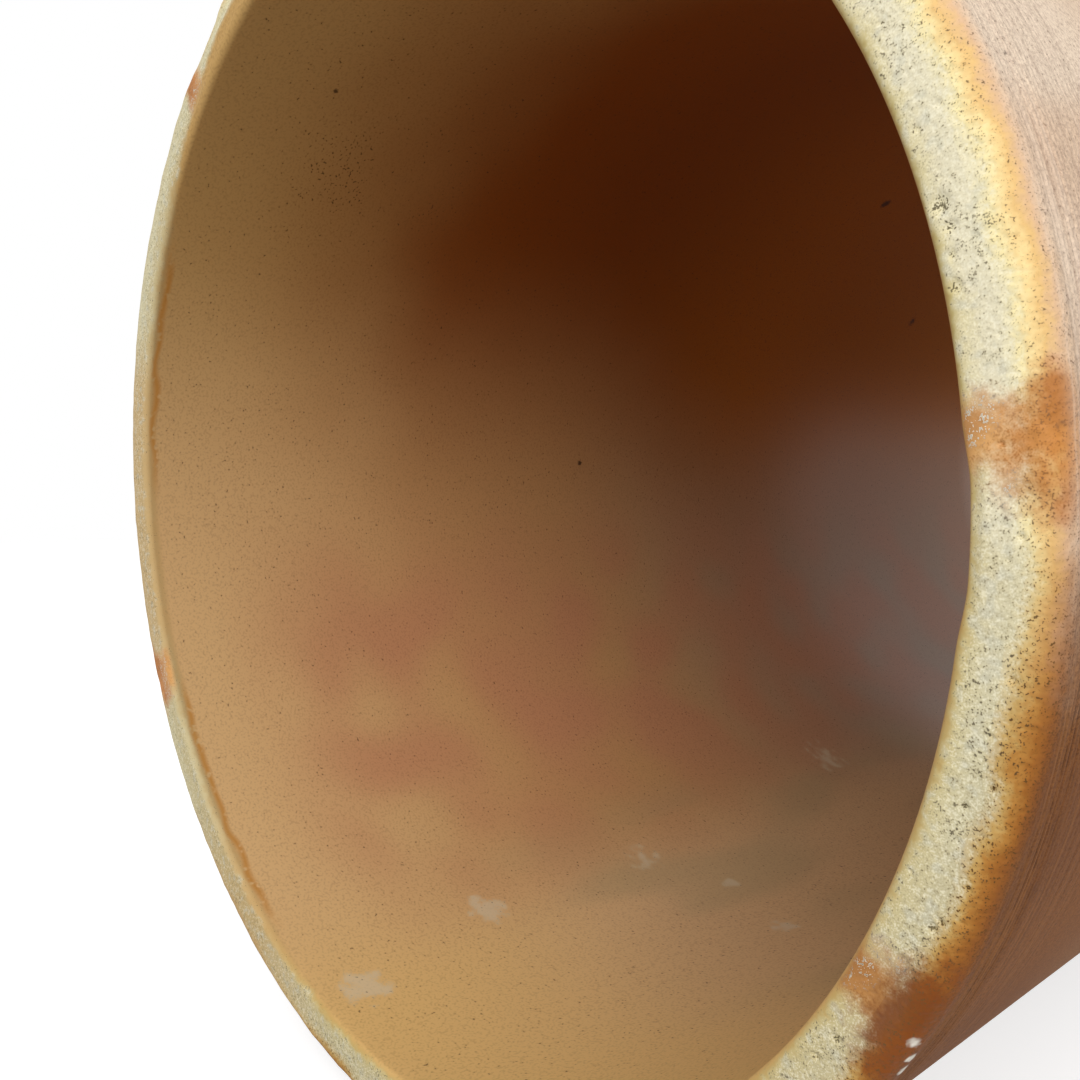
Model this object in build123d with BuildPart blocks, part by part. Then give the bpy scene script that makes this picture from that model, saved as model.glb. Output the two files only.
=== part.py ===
from build123d import *
import math
import os

# Salt-glazed stoneware drain pipe, nominal bore 500 mm, thrown, dried and fired as one piece.
# It lies on its side on the plane z = 0, with the plain spigot end towards -Y and the socket
# towards +Y. It rests on the spigot's outer edge and on the top of the shoulder, so its axis
# rises a little towards the socket. All sizes are in millimetres.

# Barrel
bore_diameter = 500.0
barrel_wall = 26.0
laying_length = 1000.0  # from the spigot's end face to the seat inside the socket

# Spigot end
spigot_outer_round = 8.0
spigot_inner_round = 4.0

# Socket
joint_gap = 18.0  # ring left round a spigot for the sealing rope and mortar
socket_depth = 70.0
socket_wall = 28.0
socket_mouth_round = 8.0
seat_inner_round = 4.0
seat_corner_round = 10.0

# Shoulder between barrel and socket
shoulder_slope = 45.0
shoulder_setback = 15.0  # from the seat back to the end of the socket's straight outside
shoulder_foot_round = 40.0
shoulder_top_round = 25.0

bore_radius = bore_diameter / 2
barrel_radius = bore_radius + barrel_wall
socket_bore_radius = barrel_radius + joint_gap
socket_radius = socket_bore_radius + socket_wall
overall_length = laying_length + socket_depth

slope = math.radians(shoulder_slope)
shoulder_top = laying_length - shoulder_setback
shoulder_foot = shoulder_top - (socket_radius - barrel_radius) / math.tan(slope)

# Corners of the wall's section: distance from the spigot's end face, radius, rounding.
section_corners = [
    (0, bore_radius, spigot_inner_round),
    (0, barrel_radius, spigot_outer_round),
    (shoulder_foot, barrel_radius, shoulder_foot_round),
    (shoulder_top, socket_radius, shoulder_top_round),
    (overall_length, socket_radius, socket_mouth_round),
    (overall_length, socket_bore_radius, socket_mouth_round),
    (laying_length, socket_bore_radius, seat_corner_round),
    (laying_length, bore_radius, seat_inner_round),
]

# Centres of the two roundings the pipe rests on, as distance along the pipe and radius.
front_along = spigot_outer_round
front_radius = barrel_radius - spigot_outer_round
back_along = shoulder_top + shoulder_top_round * math.tan(slope / 2)
back_radius = socket_radius - shoulder_top_round

# Slope of the axis at which both roundings touch the floor.
span = math.hypot(back_along - front_along, back_radius - front_radius)
rise = math.atan2(back_radius - front_radius, back_along - front_along)
rise += math.asin((shoulder_top_round - spigot_outer_round) / span)

# Height of the spigot's end above the floor, and its place that puts the origin mid-length.
end_height = front_radius * math.cos(rise) + spigot_outer_round - front_along * math.sin(rise)
front_reach = front_along * math.cos(rise) - front_radius * math.sin(rise) - spigot_outer_round
back_reach = (overall_length - socket_mouth_round) * math.cos(rise)
back_reach += (socket_radius - socket_mouth_round) * math.sin(rise) + socket_mouth_round
spigot_end = Vector(0, -(front_reach + back_reach) / 2, end_height)

# Section plane: its x runs along the pipe from the spigot's end, its y is the radius.
along_pipe = (0, math.cos(rise), math.sin(rise))
section_plane = Plane(origin=spigot_end, x_dir=along_pipe, z_dir=(1, 0, 0))
pipe_axis = Axis(spigot_end, along_pipe)

with BuildPart() as pipe:
    with BuildSketch(section_plane):
        with BuildLine():
            FilletPolyline(
                *[(along, radius) for along, radius, rounding in section_corners],
                radius=[rounding for along, radius, rounding in section_corners],
                close=True,
            )
        make_face()
    revolve(axis=pipe_axis)

pipe.part.label = "pipe"

os.makedirs("parts", exist_ok=True)
export_step(pipe.part, "parts/pipe.step")
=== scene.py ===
import math

import bmesh
import bpy
from mathutils import Matrix, Vector


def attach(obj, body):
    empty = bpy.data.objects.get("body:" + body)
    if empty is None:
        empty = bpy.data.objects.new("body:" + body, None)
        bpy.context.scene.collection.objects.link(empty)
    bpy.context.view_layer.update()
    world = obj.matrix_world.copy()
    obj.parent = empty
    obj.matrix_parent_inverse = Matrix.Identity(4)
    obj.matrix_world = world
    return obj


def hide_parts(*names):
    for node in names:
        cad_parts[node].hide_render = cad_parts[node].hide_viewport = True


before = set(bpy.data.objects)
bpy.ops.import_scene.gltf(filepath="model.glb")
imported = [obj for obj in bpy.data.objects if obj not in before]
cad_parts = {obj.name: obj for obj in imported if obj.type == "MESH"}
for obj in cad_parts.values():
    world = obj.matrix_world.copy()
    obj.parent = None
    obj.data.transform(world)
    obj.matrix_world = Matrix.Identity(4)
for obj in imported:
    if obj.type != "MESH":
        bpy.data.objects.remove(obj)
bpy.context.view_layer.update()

# The pipe's clay body is one turned and fired piece of stoneware: plain spigot end, barrel,
# shoulder and socket. Its wall's section is drawn upright beside the axis, its corners are
# rounded, and it is spun about the axis. Along the pipe is Y here, and the radius is Z.
bore_radius = 0.250
barrel_wall = 0.026
joint_gap = 0.018  # the ring left round a spigot for the sealing rope and mortar
socket_wall = 0.028
seat_along = 1.000
socket_depth = 0.070
shoulder_setback = 0.015  # from the seat back to the end of the socket's straight outside
spigot_inner_round = 0.004
spigot_outer_round = 0.008
shoulder_foot_round = 0.040
shoulder_top_round = 0.025
mouth_round = 0.008
seat_corner_round = 0.010
seat_inner_round = 0.004
inside_from = 0.010  # from here to the seat, the bore wears the inside's plainer mixture
near = 1e-5  # how close a point has to be to count as in place

barrel_radius = bore_radius + barrel_wall
socket_bore_radius = barrel_radius + joint_gap
socket_radius = socket_bore_radius + socket_wall
mouth_along = seat_along + socket_depth
shoulder_top = seat_along - shoulder_setback
shoulder_foot = shoulder_top - (socket_radius - barrel_radius)  # its slope is 45 degrees
slope_reach = math.tan(math.radians(22.5))  # a rounding's reach over its radius, at a turn of 45 degrees

wall_corners = [  # along the pipe, radius, reach of the rounding along the wall, steps of the rounding
    (0.0, bore_radius, spigot_inner_round, 8),
    (0.0, barrel_radius, spigot_outer_round, 16),
    (shoulder_foot, barrel_radius, shoulder_foot_round * slope_reach, 6),
    (shoulder_top, socket_radius, shoulder_top_round * slope_reach, 5),
    (mouth_along, socket_radius, mouth_round, 5),
    (mouth_along, socket_bore_radius, mouth_round, 5),
    (seat_along, socket_bore_radius, seat_corner_round, 4),
    (seat_along, bore_radius, seat_inner_round, 3),
]

bpy.ops.object.select_all(action="DESELECT")
bpy.ops.mesh.primitive_circle_add(vertices=len(wall_corners), radius=0.1, fill_type="NOTHING")
pipe = bpy.context.object
pipe.name = "pipe_body"
bpy.ops.object.mode_set(mode="EDIT")
bpy.ops.mesh.select_mode(type="VERT")


def pick(kind, chosen):
    """Selects the pipe's verts or edges whose ends pass the test."""
    bpy.ops.mesh.select_mode(type={"verts": "VERT", "edges": "EDGE"}[kind])
    bpy.ops.mesh.select_all(action="DESELECT")
    shape = bmesh.from_edit_mesh(pipe.data)
    for element in getattr(shape, kind):
        ends = [element.co] if kind == "verts" else [vertex.co for vertex in element.verts]
        if chosen(ends):
            element.select_set(True)
    bmesh.update_edit_mesh(pipe.data)


shape = bmesh.from_edit_mesh(pipe.data)
shape.verts.ensure_lookup_table()
for vertex, (along, radius, reach, steps) in zip(shape.verts, wall_corners):
    vertex.co = (0.0, along, radius)
bmesh.update_edit_mesh(pipe.data)

for along, radius, reach, steps in wall_corners:
    pick("verts", lambda ends: (ends[0] - Vector((0, along, radius))).length < near)
    bpy.ops.mesh.bevel(offset=reach, offset_type="OFFSET", segments=steps, profile=0.5, affect="VERTICES")

# The potter's comb left fine grooves round the outside of the spigot, for the mortar to hold.
# Each is given by its place behind the end face and its depth, and every groove is three cuts
# in the section: its two lips and its bottom.
comb_lines = [
    (0.0096, 0.00012), (0.0119, 0.00020), (0.0138, 0.00012), (0.0157, 0.00042), (0.0181, 0.00055),
    (0.0203, 0.00026), (0.0224, 0.00058), (0.0246, 0.00028), (0.0270, 0.00022), (0.0301, 0.00014),
    (0.0327, 0.00022), (0.0352, 0.00013), (0.0383, 0.00020), (0.0410, 0.00012), (0.0446, 0.00024),
    (0.0474, 0.00014), (0.0508, 0.00020), (0.0541, 0.00012), (0.0577, 0.00018), (0.0612, 0.00012),
]
comb_start, comb_end = 0.009, 0.062
groove_half = 0.00075


def on_barrel(ends):
    barrel_start = spigot_outer_round - 0.0001
    return all(abs(end.z - barrel_radius) < near and barrel_start < end.y < shoulder_foot for end in ends)


for place, depth in comb_lines:
    for offset in (-groove_half, 0.0, groove_half):
        pick("edges", on_barrel)
        bpy.ops.mesh.bisect(plane_co=(0, place + offset, 0), plane_no=(0, 1, 0))
for place, depth in comb_lines:
    pick("verts", lambda ends: on_barrel(ends) and abs(ends[0].y - place) < near)
    bpy.ops.transform.translate(value=(0, 0, -depth))


def divide(cuts, along, radius):
    """Divides the long straight edges of the section that lie in a range of along and radius."""
    shortest = 0.012

    def inside(ends):
        middle = (ends[0] + ends[1]) / 2
        long_enough = (ends[0] - ends[1]).length > shortest
        return long_enough and along[0] < middle.y < along[1] and radius[0] < middle.z < radius[1]

    pick("edges", inside)
    bpy.ops.mesh.subdivide(number_cuts=cuts)


pick("edges", lambda ends: all(abs(end.z - bore_radius) < near for end in ends))
bpy.ops.mesh.bisect(plane_co=(0, inside_from, 0), plane_no=(0, 1, 0))
divide(19, (-0.001, 0.001), (0.255, 0.268))  # spigot's end face
divide(26, (0.1, 0.9), (0.249, 0.251))  # bore
divide(10, (0.1, 0.9), (0.275, 0.277))  # outside of the barrel
divide(2, (0.99, 1.06), (0.321, 0.323))  # outside of the socket
divide(2, (1.01, 1.06), (0.293, 0.295))  # inside of the socket
divide(2, (0.999, 1.001), (0.26, 0.28))  # seat

turn_steps, full_turn = 360, 2 * math.pi
bpy.ops.mesh.select_mode(type="VERT")
bpy.ops.mesh.select_all(action="SELECT")
bpy.ops.mesh.spin(steps=turn_steps, angle=full_turn, center=(0, 0, 0), axis=(0, 1, 0), use_auto_merge=True)
bpy.ops.mesh.select_all(action="SELECT")
bpy.ops.mesh.remove_doubles(threshold=1e-6)
bpy.ops.mesh.normals_make_consistent(inside=False)

# The end face is rough bare clay, so its relief needs small faces. On the side that is seen close,
# each edge that runs round the rim is cut into eight.
close_low, close_high = -42.0, 32.0  # the side's turns, in degrees
close_depth = 0.0094  # how far back along the pipe the rim is cut


def turn_of(place):
    """The angle round the axis, in degrees, from +X towards +Z."""
    return math.degrees(math.atan2(place.z, place.x))


def round_the_rim(ends):
    first, last = ends
    level = abs(first.y - last.y) < near and first.y < close_depth
    ring = abs(math.hypot(first.x, first.z) - math.hypot(last.x, last.z)) < near
    return level and ring and close_low < turn_of((first + last) / 2) < close_high


pick("edges", round_the_rim)
bpy.ops.mesh.subdivide(number_cuts=7)
bpy.ops.object.mode_set(mode="OBJECT")


def weigh(name, amount):
    """Gives each vertex of the pipe a weight from its place: along, radius and turn."""
    group = pipe.vertex_groups.new(name=name)
    for vertex in pipe.data.vertices:
        place = vertex.co
        weight = amount(place.y, math.hypot(place.x, place.z), turn_of(place))
        if weight > 0.0:
            group.add([vertex.index], min(weight, 1.0), "REPLACE")


def ease(value, low, high):
    """Rises smoothly from 0 at low to 1 at high."""
    share = min(max((value - low) / (high - low), 0.0), 1.0)
    return share * share * (3 - 2 * share)


def sink(name, depth, grain=None, direction="NORMAL", middle=0.0, crumbs=2):
    """Presses a weighted part of the surface into the clay, evenly or by a cloudy grain's pattern."""
    modifier = pipe.modifiers.new(name, "DISPLACE")
    modifier.vertex_group = name
    modifier.strength = -depth
    modifier.mid_level = middle
    modifier.direction = direction
    if grain:
        pattern = bpy.data.textures.new(name, "CLOUDS")
        pattern.noise_scale = grain
        pattern.noise_depth = crumbs
        modifier.texture = pattern
    bpy.ops.object.modifier_apply(modifier=name)


def on_face(along, radius, turn):
    """The rough bare clay: the end face, fading over both roundings."""
    if along > 0.012:
        return 0.0
    from_bore = ease(radius - along, 0.2475, 0.2545)
    to_outside = ease(along - 0.4 * (radius - barrel_radius), 0.003, 0.009)
    return from_bore * (1 - 0.75 * to_outside)


def on_close_face(along, radius, turn):
    close_by = ease(turn, close_low, close_low + 4) * (1 - ease(turn, close_high - 4, close_high))
    return on_face(along, radius, turn) * close_by


def in_the_comb(along, radius, turn):
    return ease(radius, 0.27, 0.274) * ease(along, comb_start, 0.013) * (1 - ease(along, 0.05, 0.08))


# The groove attribute sets how much painted shade darkens each comb line, most in the deepest.
groove = pipe.data.attributes.new("groove", "FLOAT", "POINT")  # how dark a comb line is, for the material
deepest_line = max(depth for place, depth in comb_lines)
for vertex in pipe.data.vertices:
    below = barrel_radius - math.hypot(vertex.co.x, vertex.co.z)
    if comb_start < vertex.co.y < comb_end and 0.0001 < below < 0.001:
        groove.data[vertex.index].value = ease(below / deepest_line, 0.1, 0.8)

weigh("throwing", lambda along, radius, turn: 1.0)
sink("throwing", 0.0006, grain=0.11, middle=-0.1, crumbs=0)
weigh("uneven_face", on_face)
sink("uneven_face", 0.0009, grain=0.011)
weigh("face_grain", on_close_face)
sink("face_grain", 0.00055, grain=0.0022)
weigh("comb", in_the_comb)
sink("comb", 0.0011, grain=0.045, direction="Y", middle=0.5)

# Places where the rim is worn, torn or pitted: radius in mm, turn in degrees, half width in mm,
# and depth as a share of the deepest.
pits = [
    (255.6, 14.4, 4.0, 0.75), (256.6, 13.0, 2.4, 0.6), (254.8, 9.9, 2.4, 0.6), (256.0, 18.8, 1.6, 0.5),
    (255.2, 11.6, 2.0, 0.5), (260.7, 1.3, 0.9, 1.0), (261.8, -18.0, 1.0, 0.9), (262.7, -20.0, 0.9, 0.6),
    (268.8, -22.1, 1.1, 1.0), (254.6, -23.2, 0.9, 0.5), (270.5, -24.1, 0.8, 0.5), (270.2, -26.3, 1.0, 0.5),
    (264.9, -25.4, 2.2, 0.7), (266.2, -24.8, 1.5, 0.8), (261.8, -28.3, 2.0, 0.6), (263.4, -27.4, 1.6, 0.5),
    (259.6, -36.0, 1.8, 0.7), (258.4, -38.2, 1.6, 0.7), (262.6, 6.8, 0.9, 0.5), (264.3, 5.9, 0.7, 0.5),
    (264.8, -3.4, 1.4, 0.8), (262.2, -4.6, 0.9, 0.6), (265.6, -10.6, 1.6, 0.6), (263.5, -13.8, 0.9, 0.6),
    (259.4, -14.9, 0.8, 0.6), (266.8, -16.4, 1.0, 0.8), (270.0, 11.2, 1.0, 0.6), (261.9, 12.0, 0.9, 0.5),
    (262.8, 19.3, 1.4, 0.4), (258.9, 25.3, 1.1, 0.5), (263.0, 24.2, 1.0, 0.4), (258.0, -1.8, 0.8, 0.4),
    (257.0, -31.0, 1.2, 0.4),
]


def in_a_pit(along, radius, turn):
    if along > spigot_inner_round or not close_low < turn < close_high:
        return 0.0
    deepest = 0.0
    for pit_radius, pit_turn, half, share in pits:
        across = radius * 1000 - pit_radius
        beside = math.radians(turn - pit_turn) * pit_radius
        if abs(across) < half and abs(beside) < half:
            deepest = max(deepest, share * (1 - ease(math.hypot(across, beside), 0.2 * half, half)))
    return deepest


# The pit attribute sets how much painted shade darkens each pit.
pit = pipe.data.attributes.new("pit", "FLOAT", "POINT")  # how dark a pit is, for the material
for vertex in pipe.data.vertices:
    spot = vertex.co
    pit.data[vertex.index].value = in_a_pit(spot.y, math.hypot(spot.x, spot.z), turn_of(spot))
weigh("pits", in_a_pit)
sink("pits", 0.0013)


def in_a_wear(along, radius, turn):
    """The inner edge is rubbed back a little below the middle, and the outer edge high on the left."""
    if along >= inside_from:
        return 0.0
    inner = ease(turn, -10, -6) * (1 - ease(turn, -1, 3)) * (1 - ease(radius + along, 0.2535, 0.2575))
    outer = ease(turn, 116, 119) * (1 - ease(turn, 121, 128)) * ease(radius - along, 0.262, 0.268)
    return max(inner, outer)


weigh("wear", in_a_wear)
sink("wear", 0.0012)

# Kiln ash ran over the rim in patches: turn and half width in degrees, and how much wider it gets
# and how far it leans, in degrees, from the bore to the outside.
ash_runs = [
    (1.6, 1.7, 0.6, -0.2), (-31.3, 1.7, 2.2, -0.6), (125.0, 1.2, 0.5, 0.0), (-158.5, 2.6, 0.5, 0.5),
    (62.0, 2.2, 0.8, 0.6), (92.0, 1.3, 0.4, 0.0), (-70.0, 2.8, 1.0, -0.6),
]
no_patch_near = -12.0  # what a place far from every patch gets, in degrees


def inside_an_ash_run(radius, turn):
    """How many degrees a place lies inside a patch, or less than 0 outside them all."""
    share = (radius - bore_radius) / (barrel_radius - bore_radius)
    best = no_patch_near
    for middle, half, wider, lean in ash_runs:
        best = max(best, half + wider * share - abs(turn - middle - lean * share))
    return best


amber = pipe.data.attributes.new("amber", "FLOAT", "POINT")  # degrees inside a patch, for the material
for vertex in pipe.data.vertices:
    spot = vertex.co
    amber.data[vertex.index].value = inside_an_ash_run(math.hypot(spot.x, spot.z), turn_of(spot))

# The bore's glaze stops at the inner edge. On the left the bare clay reaches some mm into the bore,
# and high on the left the glaze comes out over the end face: turn in degrees, reach in mm.
bare_reaches = [
    (-180, 5.5), (-160, 5.5), (-148, 6.0), (-132, 5.0), (-114, 2.0), (-95, 0.0), (60, 0.0), (85, -4.0),
    (104, -11.0), (117, -13.0), (123, -9.0), (129, -4.5), (141, 3.0), (153, 5.0), (165, 5.5), (180, 5.5),
]
reach = pipe.data.attributes.new("reach", "FLOAT", "POINT")  # how far the bare clay reaches, in mm
for vertex in pipe.data.vertices:
    spot_turn = turn_of(vertex.co)
    for (low_turn, low_reach), (high_turn, high_reach) in zip(bare_reaches, bare_reaches[1:]):
        if low_turn <= spot_turn <= high_turn:
            share = (spot_turn - low_turn) / (high_turn - low_turn)
            reach.data[vertex.index].value = low_reach + (high_reach - low_reach) * share

for face in pipe.data.polygons:
    in_bore = math.hypot(face.center.x, face.center.z) < bore_radius + 0.002
    along_bore = inside_from < face.center.y < seat_along - seat_inner_round
    face.material_index = 1 if in_bore and along_bore else 0

# The pipe lies on the floor on its spigot's outer edge and the top of its shoulder, which are both
# rounded, so its axis rises a little. It is put with the middle of its length over the origin.
edge_radius = barrel_radius - spigot_outer_round
shoulder_along = shoulder_top + shoulder_top_round * slope_reach
shoulder_radius = socket_radius - shoulder_top_round
span = math.hypot(shoulder_along - spigot_outer_round, shoulder_radius - edge_radius)
rise = math.atan2(shoulder_radius - edge_radius, shoulder_along - spigot_outer_round)
rise += math.asin((shoulder_top_round - spigot_outer_round) / span)
height = edge_radius * math.cos(rise) + spigot_outer_round - spigot_outer_round * math.sin(rise)
front = spigot_outer_round * math.cos(rise) - edge_radius * math.sin(rise) - spigot_outer_round
back = (mouth_along - mouth_round) * math.cos(rise)
back += (socket_radius - mouth_round) * math.sin(rise) + mouth_round
spigot_place = Vector((0.0, -(front + back) / 2, height))
pipe.rotation_euler = (rise, 0, 0)
pipe.location = spigot_place
bpy.ops.object.transform_apply(location=True, rotation=True, scale=True)
bpy.ops.object.shade_smooth_by_angle(angle=math.radians(50))

# The fired clay is pale where it is bare, at the ends, and brown where the salt glaze took. The
# glaze is matt and pinkish outside, with an orange burn where it stops at the rim. On the rim and
# the outside, the lower side's colours are darker, browner copies that hold both the burn and
# painted shade. The bore past the mouth wears a plainer mixture of the same clay, with the same glaze.


class Glaze:
    """A value, colour or place that varies over a surface, held as one output socket."""

    tree = None  # the nodes of the mixture that is being made

    def __init__(self, socket):
        self.socket = socket

    @classmethod
    def node(cls, kind, settings, sockets, output=0):
        """Adds a node, sets it, fills its sockets, and gives one of its outputs."""
        node = cls.tree.nodes.new(kind)
        stops = settings.pop("stops", None)
        for name, value in settings.items():
            setattr(node, name, value)
        if stops:
            while len(node.color_ramp.elements) < len(stops):
                node.color_ramp.elements.new(0.5)
            for element, (position, colour) in zip(node.color_ramp.elements, stops):
                element.position = position
                element.color = colour
        for name, value in sockets.items():
            if isinstance(value, cls):
                cls.tree.links.new(value.socket, node.inputs[name])
            else:
                node.inputs[name].default_value = value
        return cls(node.outputs[output])

    def math(self, operation, other=0.0, last=0.0):
        return Glaze.node("ShaderNodeMath", {"operation": operation}, {0: self, 1: other, 2: last})

    def __add__(self, other):
        return self.math("ADD", other)

    __radd__ = __add__

    def __mul__(self, other):
        return self.math("MULTIPLY", other)

    __rmul__ = __mul__

    def __sub__(self, other):
        return self.math("SUBTRACT", other)

    def __rsub__(self, other):
        return Glaze.node("ShaderNodeMath", {"operation": "SUBTRACT"}, {0: other, 1: self})

    def ease(self, low, high):
        """Rises smoothly from 0 at low to 1 at high, or falls if low is the larger."""
        settings = {"interpolation_type": "SMOOTHSTEP"}
        ends = {"From Min": min(low, high), "From Max": max(low, high)}
        rising = {"To Min": 0.0, "To Max": 1.0} if low < high else {"To Min": 1.0, "To Max": 0.0}
        return Glaze.node("ShaderNodeMapRange", settings, {"Value": self, **ends, **rising})

    def coat(self, under, over):
        """Lays one colour over another, where this value is the share of the upper one."""
        return Glaze.node("ShaderNodeMix", {"data_type": "RGBA"}, {0: self, 6: under, 7: over}, 2)


def seen(red, green, blue):
    """A colour as it looks in plain light, on a scale of 255, turned into the shader's own scale."""
    colour = []
    for part in (red / 255, green / 255, blue / 255):
        colour.append(part / 12.92 if part <= 0.04045 else ((part + 0.055) / 1.055) ** 2.4)
    return (*colour, 1.0)


def start_clay(name):
    """Starts a mixture of the clay, and gives it with its shader."""
    mixture = bpy.data.materials.new(name)
    mixture.use_nodes = True
    Glaze.tree = mixture.node_tree
    pipe.data.materials.append(mixture)
    shader = mixture.node_tree.nodes["Principled BSDF"]
    shader.inputs["Specular IOR Level"].default_value = 0.2
    return shader


def finish_clay(shader, colour, roughness, relief=None):
    """Joins what varies to the shader. The relief, if any, is in shares of the bump's distance."""
    joined = {"Base Color": colour, "Roughness": roughness}
    if relief:
        sockets = {"Strength": 0.9, "Distance": 0.0003, "Height": relief}
        joined["Normal"] = Glaze.node("ShaderNodeBump", {}, sockets)
    for name, value in joined.items():
        Glaze.tree.links.new(value.socket, shader.inputs[name])


def survey():
    """Places on the clay in mm from the middle of the spigot's end: whole, across, along and up."""
    object_place = Glaze.node("ShaderNodeTexCoord", {}, {}, "Object")
    millimetre = (0.001, 0.001, 0.001)
    spigot_frame = {"Location": spigot_place, "Rotation": (rise, 0, 0), "Scale": millimetre}
    sockets = {"Vector": object_place, **spigot_frame}
    place = Glaze.node("ShaderNodeMapping", {"vector_type": "TEXTURE"}, sockets)
    parts = Glaze.node("ShaderNodeSeparateXYZ", {}, {0: place}).socket.node.outputs
    return place, Glaze(parts["X"]), Glaze(parts["Y"]), Glaze(parts["Z"])


def cloud(place, scale, detail=0.0):
    """A cloudy pattern about 1 / scale mm in size, round 0.5."""
    sockets = {"Vector": place, "Scale": scale, "Detail": detail, "Roughness": 0.55}
    return Glaze.node("ShaderNodeTexNoise", {}, sockets)


def stretched(place, across_scale, along_scale):
    """A cloudy pattern with its own scale across the pipe and along it."""
    scales = (across_scale, along_scale, across_scale)
    where = Glaze.node("ShaderNodeVectorMath", {"operation": "MULTIPLY"}, {0: place, 1: scales})
    return cloud(where, 1.0)


def painted(name):
    """A value that the mesh carries at its points."""
    return Glaze.node("ShaderNodeAttribute", {"attribute_name": name}, {}, "Fac")


def spotted(place, spots, ragged_by):
    """How thickly dried spots lie: along in mm, turn in degrees, radius and half width in mm, strength."""
    cover = 0.0
    for spot_along, spot_turn, spot_radius, half, strength in spots:
        angle = math.radians(spot_turn)
        centre = (spot_radius * math.cos(angle), spot_along, spot_radius * math.sin(angle))
        away = Glaze.node("ShaderNodeVectorMath", {"operation": "DISTANCE"}, {0: place, 1: centre}, "Value")
        cover = away.math("MULTIPLY_ADD", -2 * strength / half, 2 * strength).math("MAXIMUM", cover)
    return (cover + ragged_by).ease(0.3, 1.1) * cover.ease(0.0, 0.3)


def bore_glaze(place, across, along, up, fine):
    """Tan at the mouth, dark brown above, warmer and paler below, and greyish along the bottom."""
    drifting = cloud(place, 0.018)
    drift = (drifting - 0.5) * 36
    deep = (along + drift).ease(5, 240)
    farther = along.ease(300, 600)
    above = (up + drift * 0.4 + across * 0.35 + farther * 110).ease(-110, 120)
    bottom = across.ease(-150, -50) * up.ease(-60, -160)
    low_mouth = bottom.coat(seen(211, 172, 120), seen(216, 176, 112))
    low_deep = farther.coat(seen(190, 144, 94), seen(172, 142, 114))
    low_deep = bottom.coat(low_deep, seen(206, 168, 124))
    high_deep = farther.coat(seen(134, 68, 8), seen(178, 104, 16))
    mouth = above.coat(low_mouth, seen(188, 150, 92))
    colour = deep.coat(mouth, above.coat(low_deep, high_deep))
    pinker = across.ease(-60, -190) * up.ease(20, -110) * along.ease(20, 130) * drifting.ease(0.2, 0.7)
    colour = (pinker * 0.8).coat(colour, seen(188, 130, 94))
    return (fine.ease(0.44, 0.76) * 0.17).coat(colour, seen(98, 64, 32))


# Across the rim, the clay's place is told in mm from the middle of the end face, less towards the
# bore and more outside. Noises of four sizes make every border ragged.
clay_shader = start_clay("fired_clay")
place, across, along, up = survey()
radius = (across * across + up * up).math("SQRT")
turn = up.math("ARCTAN2", across) * (180 / math.pi)
wide = cloud(place, 0.06)
middling = cloud(place, 0.22, 1.0)
fine = cloud(place, 0.75)
grain = cloud(place, 2.0)

face_middle = 500 * (bore_radius + barrel_radius)
outer_side = radius.math("GREATER_THAN", face_middle)
rim = radius - face_middle + along * (outer_side * 2 - 1)
ragged = rim + (wide - 0.5) * 7 + (middling - 0.5) * 5 + (fine - 0.5) * 3
ragged_up = up + (wide - 0.5) * 30 + (middling - 0.5) * 14

rim_start, rim_end = -20.0, 44.0
upper_rim = [  # the place across the rim in mm, red, green, blue
    (-20.0, 180, 144, 84), (-15.0, 172, 142, 84), (-12.5, 194, 176, 118), (-9.5, 220, 208, 166),
    (-6.0, 223, 214, 184), (-1.0, 226, 217, 186), (2.0, 236, 225, 186), (5.0, 245, 228, 172),
    (8.0, 241, 212, 150), (11.5, 226, 186, 122), (16.0, 218, 180, 142), (22.0, 222, 196, 170),
    (44.0, 222, 198, 174),
]
# Below, the rim's colours are darker and browner: partly the orange burn, partly painted shade.
lower_rim = [
    (-20.0, 188, 150, 92), (-15.0, 190, 156, 94), (-12.5, 190, 164, 106), (-10.5, 200, 183, 132),
    (-8.5, 205, 193, 150), (-3.0, 204, 195, 160), (1.5, 202, 192, 156), (4.5, 200, 180, 136),
    (7.0, 190, 154, 90), (10.0, 174, 122, 56), (13.5, 156, 98, 38), (18.0, 143, 86, 36),
    (24.0, 142, 92, 48), (44.0, 142, 92, 52),
]
# On the left, the inner rounding's stops at -12 and -8 mm are darkened with painted shade.
left_rim = [
    (-20.0, 180, 140, 80), (-16.0, 180, 144, 88), (-12.0, 184, 158, 110), (-8.0, 194, 177, 134),
    (-1.0, 205, 195, 158), (6.0, 208, 198, 162), (10.0, 208, 192, 152), (15.0, 208, 178, 142),
    (44.0, 212, 184, 160),
]


def banded(stops, rim_place):
    """The rim's colours from the bore over the end face to the outside."""
    width = rim_end - rim_start
    ramp = [((at - rim_start) / width, seen(*colour)) for at, *colour in stops]
    share = rim_place.math("MULTIPLY_ADD", 1 / width, -rim_start / width)
    return Glaze.node("ShaderNodeValToRGB", {"stops": ramp}, {0: share})


on_wall = rim.ease(8, 20)
# low_side marks the lower side, where each colour's darker copy holds painted shade as well as the burn.
low_side = ragged_up.ease(8, -62) * across.ease(-160, -60).math("MAXIMUM", on_wall)
left_side = across.ease(-60, -150) * (1 - on_wall)
bare_reach = painted("reach")
clay_colour = low_side.coat(banded(upper_rim, ragged), banded(lower_rim, ragged))
left_colour = banded(left_rim, ragged + bare_reach * ragged.ease(-4, -12))
tanned = up.ease(-150, -215).math("MAXIMUM", turn.math("ABSOLUTE").ease(154, 166) * 0.8)
left_colour = (tanned * 0.9).coat(left_colour, seen(192, 156, 102))
clay_colour = left_side.coat(clay_colour, left_colour)
# Painted light: near the rim, the top of the outside wall is painted paler.
top_wall_highlight = up.ease(15, 70) * rim.ease(14, 24)
clay_colour = top_wall_highlight.coat(clay_colour, seen(233, 212, 188))
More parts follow.
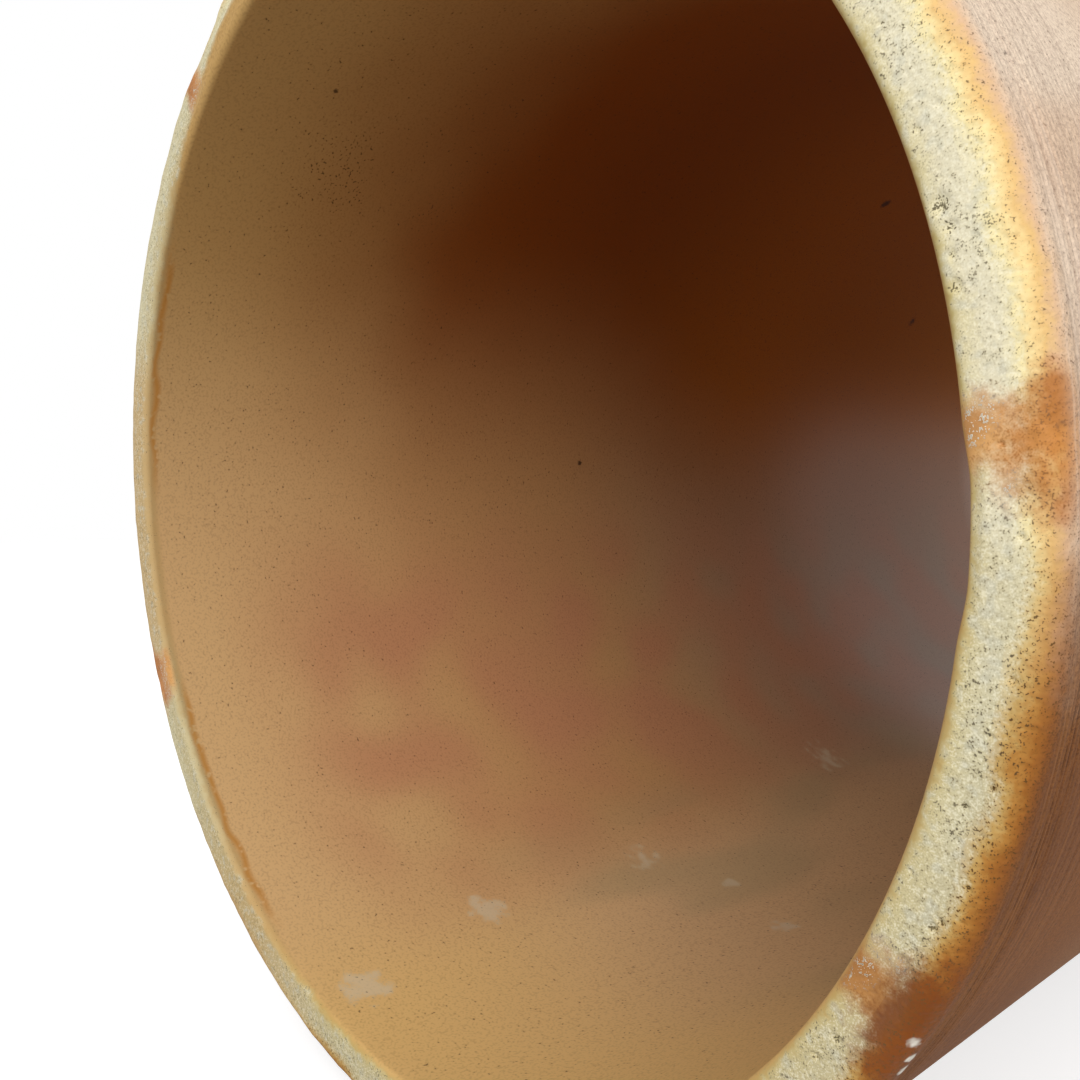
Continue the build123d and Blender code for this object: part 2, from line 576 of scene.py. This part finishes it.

# The bare face is sandy, with brown and cream grains and pale grey blooms, and its pits are darkened
# with painted shade. Towards the bottom the face turns a darker olive.
bare = ragged.ease(-12.5, -9) * ragged.ease(8, 2)
sand = grain * 0.6 + fine * 0.4
clay_colour = (bare * up.ease(-75, -150) * 0.4).coat(clay_colour, seen(186, 168, 118))
clay_colour = (bare * middling.ease(0.5, 0.7) * 0.45).coat(clay_colour, seen(192, 190, 172))
brown_sand = sand.ease(0.52, 0.66) * (low_side * 0.15 + 0.3)
clay_colour = (bare * brown_sand).coat(clay_colour, seen(170, 155, 118))
clay_colour = (bare * sand.ease(0.46, 0.34) * 0.4).coat(clay_colour, seen(246, 240, 216))
# Painted shade darkens the pits; the same mask also darkens scattered coarse grains.
pitted = painted("pit") + (sand - 0.5) * 3.2
clay_colour = (pitted.ease(0.5, 0.95) * 0.8).coat(clay_colour, seen(76, 66, 38))

# Where kiln ash ran over the rim, the glaze is amber right across the face, with pale flecks.
amber = (painted("amber") + (wide - 0.5) * 5 + (middling - 0.5) * 2.5 + (sand - 0.5) * 1.2).ease(-1.7, 1.2)
amber = amber * rim.ease(-17, -13) * rim.ease(26, 12)
# The ash runs are darker on the lower side, partly as painted shade.
amber_inner = low_side.coat(seen(210, 154, 90), seen(176, 120, 60))
amber_outer = low_side.coat(seen(192, 124, 56), seen(114, 56, 6))
amber_colour = ragged.ease(-8, 4).coat(amber_inner, amber_outer)
amber_colour = (wide.ease(0.4, 0.66) * 0.4).coat(amber_colour, seen(140, 74, 18))
amber_colour = (sand.ease(0.5, 0.66) * 0.3).coat(amber_colour, seen(122, 62, 16))
clay_colour = (amber * 0.94).coat(clay_colour, amber_colour)
flecks = amber * sand.ease(0.58, 0.64) * ragged.ease(4, 0) * ragged.ease(-12, -9) * wide.ease(0.4, 0.54)
clay_colour = (flecks * 0.9).coat(clay_colour, seen(240, 232, 212))

# Outside, the combed and salted wall is matt, grainy and streaked round the pipe, and each of its
# colours has a paler copy above and a darker one below, as painted light and shade. Farther back, the
# barrel is tan above and brown below, which is painted light and shade, with soft broad flashing from
# the kiln.
outside = rim.ease(14, 21)
barrel = ragged_up.ease(90, -190).coat(seen(212, 182, 150), seen(158, 112, 74))
clay_colour = (outside * along.ease(60, 200) * 0.92).coat(clay_colour, barrel)
flashing = stretched(place, 0.016, 0.007)
flashing_with_shade = low_side.coat(seen(208, 166, 130), seen(116, 72, 42))
clay_colour = (outside * flashing.ease(0.48, 0.68) * 0.45).coat(clay_colour, flashing_with_shade)
streaks = stretched(place, 0.012, 0.85)
combed = outside * along.ease(80, 50)
wall_dark = low_side.coat(seen(134, 106, 92), seen(96, 56, 32))
clay_colour = (outside * fine.ease(0.4, 0.76) * 0.26).coat(clay_colour, wall_dark)
clay_colour = (outside * grain.ease(0.44, 0.72) * (low_side * 0.3 + 0.28)).coat(clay_colour, wall_dark)
clay_colour = (combed * streaks.ease(0.54, 0.74) * 0.24).coat(clay_colour, wall_dark)
wall_pale = low_side.coat(seen(236, 212, 190), seen(166, 116, 74))
clay_colour = (combed * streaks.ease(0.46, 0.3) * 0.3).coat(clay_colour, wall_pale)
# Painted shade darkens the deeper comb lines, more on the lower side.
groove_shade = low_side.coat(seen(150, 122, 108), seen(62, 36, 20))
shaded_grooves = painted("groove") * (middling + wide * 0.5).ease(0.6, 0.84) * (low_side * 0.5 + 0.45)
clay_colour = shaded_grooves.coat(clay_colour, groove_shade)

# Dark specks lie thinly all over the bare clay, and thickly in the ochre band beside it.
small_dots = sand.ease(0.61, 0.68)
specks = small_dots * ragged.ease(-13, -10) * rim.ease(14, 8) * wide.ease(0.36, 0.6)
clay_colour = (specks * (low_side * 0.35 + 0.45)).coat(clay_colour, seen(98, 90, 72))
freckles = (small_dots + grain.ease(0.6, 0.72) * 0.5) * rim.ease(2, 6) * rim.ease(24, 16)
clay_colour = (freckles * (low_side * 0.42 + 0.18)).coat(clay_colour, seen(98, 66, 26))

# Chips that were knocked off later are white, and two blots of ash are dark.
chips = [(3.6, -32.5, 275.2, 3.3, 1.0), (6.4, -33.8, 276.0, 2.6, 1.0), (8.2, -35.0, 276.0, 2.8, 1.0)]
clay_colour = spotted(place, chips, (fine - 0.5) * 0.8).coat(clay_colour, seen(232, 224, 210))
blots = [(16.0, 21.2, 276.2, 2.2, 0.8), (2.5, 2.0, 273.8, 2.2, 0.7)]
clay_colour = (spotted(place, blots, (fine - 0.5) * 1.2) * 0.75).coat(clay_colour, seen(72, 60, 54))

# The glaze of the bore starts behind the rounding, with an ochre seep along its edge on the left.
inside = (rim + bare_reach + (middling - 0.5) * 2).ease(-11, -16)
clay_colour = inside.coat(clay_colour, bore_glaze(place, across, along, up, fine))
seep = (along + (wide - 0.5) * 6 - 6.5).math("ABSOLUTE").ease(3.4, 0.0) * rim.ease(-13.5, -16)
seep_turns = turn.ease(-158, -152) * turn.ease(-119, -126) + turn.ease(143, 150) * turn.ease(180, 170)
clay_colour = (seep * seep_turns * middling.ease(0.3, 0.46) * 0.75).coat(clay_colour, seen(182, 122, 44))

# At the socket's mouth the face is bare and pale again, and the seat inside is a plain tan.
in_socket = radius.ease(300, 297) * along.ease(996, 1002)
socket_colour = (middling.ease(0.4, 0.65) * 0.6).coat(seen(176, 132, 88), seen(150, 106, 68))
clay_colour = in_socket.coat(clay_colour, socket_colour)
mouth_face = (along + (middling - 0.5) * 5).ease(1064, 1067)
mouth_colour = (sand.ease(0.5, 0.64) * 0.4).coat(seen(214, 205, 180), seen(160, 146, 114))
clay_colour = mouth_face.coat(clay_colour, mouth_colour)

bare_clay = rim.ease(-12, -8)
finish_clay(clay_shader, clay_colour, roughness=0.8 - amber * 0.25, relief=fine * (bare_clay * 0.9 + 0.12))

# In the bore, lime and mortar have dried on in chalky spots, water has left a greenish film along
# the bottom, and ash has burnt in as dark specks. Farther in, the glaze is thicker and shinier.
bore_shader = start_clay("fired_clay_inside")
place, across, along, up = survey()
middling = cloud(place, 0.16)
fine = cloud(place, 0.75)
bore_colour = bore_glaze(place, across, along, up, fine)
film = stretched(place, 0.022, 0.008).ease(0.42, 0.7) * up.ease(-195, -238) * along.ease(90, 220)
bore_colour = (film * 0.35).coat(bore_colour, seen(156, 142, 104))
wall_at = 1000 * bore_radius
lime_spots = [
    (26.5, -108.0, wall_at, 17, 0.85), (117.6, -112.6, wall_at, 16, 0.8),
    (240.0, -111.0, wall_at, 18, 0.45), (243.4, -87.0, wall_at, 12, 0.65),
    (268.3, -100.5, wall_at, 8, 0.7), (480.0, -118.0, wall_at, 26, 0.5),
]
limed = spotted(place, lime_spots, (middling - 0.5) * 1.5 + (fine - 0.5) * 0.8)
bore_colour = (limed * 0.6).coat(bore_colour, seen(206, 190, 160))
ash_spots = [
    (350.7, 175.0, wall_at, 3.4, 0.8), (581.3, 115.6, wall_at, 7.0, 0.85),
    (774.2, 141.9, wall_at, 9.0, 0.55), (66.7, 119.7, wall_at, 2.4, 0.85),
]
ashed = spotted(place, ash_spots, (fine - 0.5) * 0.8)
bore_colour = (ashed * 0.85).coat(bore_colour, seen(48, 22, 10))
speckled_turn = math.radians(131)
speckled_place = (wall_at * math.cos(speckled_turn), 90, wall_at * math.sin(speckled_turn))
sockets = {0: place, 1: speckled_place}
to_speckled = Glaze.node("ShaderNodeVectorMath", {"operation": "DISTANCE"}, sockets, "Value")
burnt = (fine + to_speckled.ease(40, 5) * 0.1 + middling * 0.1).ease(0.85, 0.89)
bore_colour = (burnt * 0.7).coat(bore_colour, seen(58, 32, 16))
finish_clay(bore_shader, bore_colour, roughness=0.8 - along.ease(440, 740) * up.ease(150, -20) * 0.5)

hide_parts("pipe")
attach(pipe, "root")

# The floor is a plain pale ground. Seen by the camera or in the glaze it is white with the
# pipe's soft shadow, and it throws only a grey ground's light back on the pipe.
bpy.ops.object.select_all(action="DESELECT")
bpy.ops.mesh.primitive_circle_add(vertices=64, radius=30.0, fill_type="NGON", location=(0, 0, 0))
floor = bpy.context.object
floor.name = "floor"


def seen_or_mirrored():
    """1 where it is seen straight or in the glaze, and 0 where it only throws its light on the pipe."""
    ray = Glaze.node("ShaderNodeLightPath", {}, {}).socket.node.outputs
    mirrored = Glaze(ray["Is Glossy Ray"]) + Glaze(ray["Is Transmission Ray"])
    return Glaze.node("ShaderNodeMath", {"use_clamp": True}, {0: Glaze(ray["Is Camera Ray"]), 1: mirrored})


ground = bpy.data.materials.new("ground")
ground.use_nodes = True
Glaze.tree = ground.node_tree
grey_ground = ground.node_tree.nodes["Principled BSDF"]
grey_ground.inputs["Base Color"].default_value = (0.45, 0.45, 0.45, 1)
grey_ground.inputs["Roughness"].default_value = 1.0
grey_ground.inputs["Specular IOR Level"].default_value = 0.0
shaded_ground = Glaze.node("ShaderNodeBsdfDiffuse", {}, {"Color": (0.55, 0.55, 0.55, 1)})
glow = Glaze.node("ShaderNodeEmission", {}, {"Strength": 0.68})
white_ground = Glaze.node("ShaderNodeAddShader", {}, {0: shaded_ground, 1: glow})
sockets = {0: seen_or_mirrored(), 1: Glaze(grey_ground.outputs[0]), 2: white_ground}
whole_ground = Glaze.node("ShaderNodeMixShader", {}, sockets)
ground.node_tree.links.new(whole_ground.socket, ground.node_tree.nodes["Material Output"].inputs["Surface"])
floor.data.materials.append(ground)

# An even sky lights the pipe, brighter overhead than at the horizon. Where it is seen, straight or
# in the glaze, it is plain white.
world = bpy.data.worlds.new("sky")
bpy.context.scene.world = world
world.use_nodes = True
Glaze.tree = world.node_tree
sky_low, sky_high, sky_white = 0.4, 0.8, 1.0
direction = Glaze.node("ShaderNodeTexCoord", {}, {}, "Generated")
overhead = Glaze.node("ShaderNodeSeparateXYZ", {}, {0: direction}, "Z")
levels = {"Value": overhead, "From Min": -0.1, "To Min": sky_low, "To Max": sky_high}
lit_sky = Glaze.node("ShaderNodeMapRange", {}, levels)
strength = Glaze.node("ShaderNodeMix", {}, {"Factor": seen_or_mirrored(), "A": lit_sky, "B": sky_white})
background = world.node_tree.nodes["Background"]
background.inputs["Color"].default_value = (1, 1, 1, 1)
world.node_tree.links.new(strength.socket, background.inputs["Strength"])

# A large soft lamp shines from the front, right and above. It reaches into the mouth, so the lower
# left of the bore is lit and the upper right stays dark.
lamp_data = bpy.data.lights.new("soft_lamp", "AREA")
lamp_data.shape = "DISK"
lamp_data.size = 4.0
lamp_data.energy = 150
lamp = bpy.data.objects.new("soft_lamp", lamp_data)
bpy.context.scene.collection.objects.link(lamp)
lamp.location = (2.3, -3.6, 2.2)
lamp_aim = Vector((0.0, -0.3, 0.2)) - lamp.location
lamp.rotation_euler = lamp_aim.to_track_quat("-Z", "Y").to_euler()

# The camera stands close in front of the mouth, right of the axis, and looks in. Its place and its
# turns are given in the pipe's own directions.
eye_right, eye_front = 0.37726, 0.24371
eye_yaw, eye_pitch, eye_roll = 0.8520, -0.0441, 0.0489
pipe_axes = Matrix.Rotation(rise, 3, "X")
yaw, pitch = Matrix.Rotation(eye_yaw, 3, "Z"), Matrix.Rotation(eye_pitch, 3, "X")
turned = yaw @ pitch @ Matrix.Rotation(eye_roll, 3, "Y")
right, forward, upward = (pipe_axes @ turned).col
camera_data = bpy.data.cameras.new("camera")
camera = bpy.data.objects.new("camera", camera_data)
bpy.context.scene.collection.objects.link(camera)
eye_place = spigot_place + pipe_axes @ Vector((eye_right, -eye_front, 0.0))
eye_axes = Matrix((right, upward, -forward)).transposed().to_4x4()
camera.matrix_world = Matrix.Translation(eye_place) @ eye_axes
focal_length, frame_width = 1078.0, 1080.0  # in the photograph's pixels
camera_data.sensor_width = 36.0
camera_data.lens = camera_data.sensor_width * focal_length / frame_width
camera_data.clip_start = 0.02
camera_data.clip_end = 80.0
bpy.context.scene.camera = camera

bpy.context.scene.view_settings.view_transform = "Standard"
